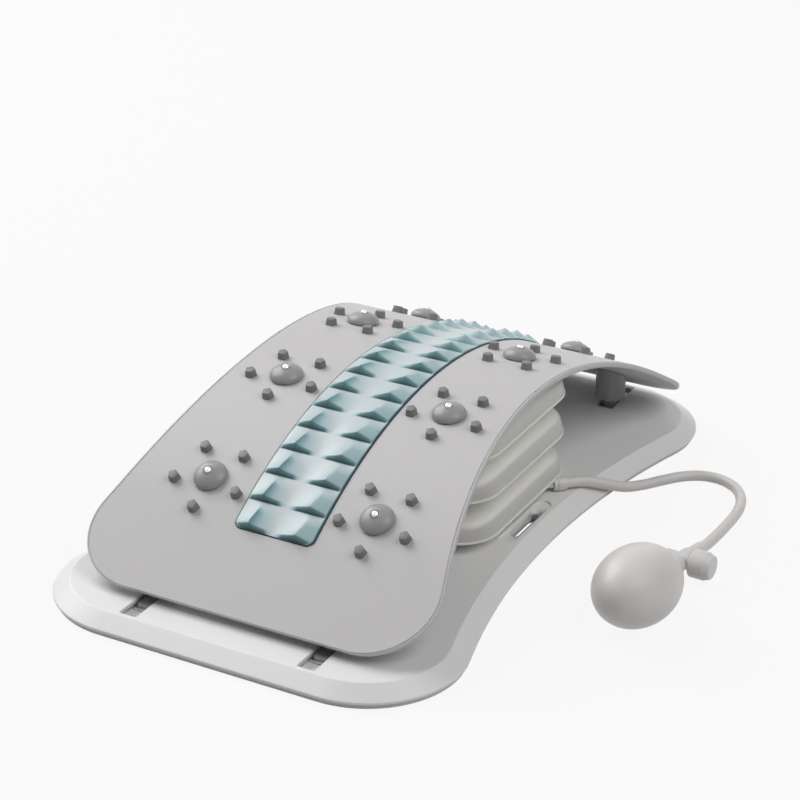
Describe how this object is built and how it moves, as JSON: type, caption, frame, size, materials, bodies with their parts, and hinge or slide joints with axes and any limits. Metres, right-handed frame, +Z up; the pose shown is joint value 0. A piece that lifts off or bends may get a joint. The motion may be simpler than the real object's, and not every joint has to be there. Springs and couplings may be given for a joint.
{
  "type": "lumbar back stretcher",
  "caption": "Inflatable lumbar stretcher: a bowed massage board on sliding feet, raised over its base by air chambers and a hand bulb.",
  "frame": {"origin": "centre of the base's underside, on the floor", "axes": "+X to the side the hand bulb lies on, +Y along the spine from the end in front in the picture to the end behind, +Z up"},
  "size_m": [0.3053, 0.4, 0.09],
  "materials": {
    "white_plastic": "satin white",
    "mat_foam": "matt grey",
    "board_plastic": "fine matt grain, light grey",
    "strip_gel": "translucent teal",
    "dome_rubber": "satin dark grey",
    "bead_steel": "polished",
    "foot_plastic": "satin dark grey",
    "fixing_steel": "bright zinc",
    "chamber_film": "translucent cream film",
    "pump_rubber": "satin warm white",
    "fitting_plastic": "satin white"
  },
  "bodies": {
    "base": {"base_plate": "white_plastic", "anti_slip_mat": "mat_foam", "air_chamber_lower": "chamber_film", "air_chamber_middle": "chamber_film", "air_chamber_upper": "chamber_film", "bag_port": "fitting_plastic", "air_hose": "pump_rubber", "hose_sleeve": "pump_rubber", "valve_body": "fitting_plastic", "pump_bulb": "pump_rubber"},
    "arch": {"arch_board": "board_plastic", "spine_strip": "strip_gel", "massage_dome_lower_left": "dome_rubber", "massage_dome_lower_right": "dome_rubber", "massage_dome_lower_mid_left": "dome_rubber", "massage_dome_lower_mid_right": "dome_rubber", "massage_dome_upper_mid_left": "dome_rubber", "massage_dome_upper_mid_right": "dome_rubber", "massage_dome_upper_left": "dome_rubber", "massage_dome_upper_right": "dome_rubber", "dome_bead_lower_left": "bead_steel", "dome_bead_lower_right": "bead_steel", "dome_bead_lower_mid_left": "bead_steel", "dome_bead_lower_mid_right": "bead_steel", "dome_bead_upper_mid_left": "bead_steel", "dome_bead_upper_mid_right": "bead_steel", "dome_bead_upper_left": "bead_steel", "dome_bead_upper_right": "bead_steel"},
    "front_feet": {"front_left_foot": "foot_plastic", "front_left_retainer": "fixing_steel", "front_left_screw": "fixing_steel", "front_right_foot": "foot_plastic", "front_right_retainer": "fixing_steel", "front_right_screw": "fixing_steel"},
    "rear_feet": {"rear_left_foot": "foot_plastic", "rear_left_retainer": "fixing_steel", "rear_left_screw": "fixing_steel", "rear_right_foot": "foot_plastic", "rear_right_retainer": "fixing_steel", "rear_right_screw": "fixing_steel"},
    "knob": {"valve_needle": "fitting_plastic", "release_knob": "fitting_plastic"}
  },
  "joints": [
    {"name": "arch_lift", "type": "slide", "parent": "base", "child": "arch", "axis": [0, 0, 1], "range_m": [-0.022, 0], "stiffness_N_per_m": 2500, "springref_m": 0.012, "deforming": ["arch_board", "spine_strip", "air_chamber_lower", "air_chamber_middle", "air_chamber_upper"]},
    {"name": "front_feet_slide", "type": "slide", "parent": "arch", "child": "front_feet", "axis": [0, -0.3032, 0.9529], "range_m": [0, 0.02309]},
    {"name": "rear_feet_slide", "type": "slide", "parent": "arch", "child": "rear_feet", "axis": [0, 0.3032, 0.9529], "range_m": [0, 0.02309]},
    {"name": "knob_turn", "type": "hinge", "parent": "base", "child": "knob", "pos_m": [0.17596, 0.00022, 0.0107], "axis": [0.9992, -0.0401, 0], "range_deg": [0, 540]}
  ],
  "couplings": [
    {"joint": "front_feet_slide", "follows": "arch_lift", "ratio": -1.0494},
    {"joint": "rear_feet_slide", "follows": "arch_lift", "ratio": -1.0494}
  ]
}
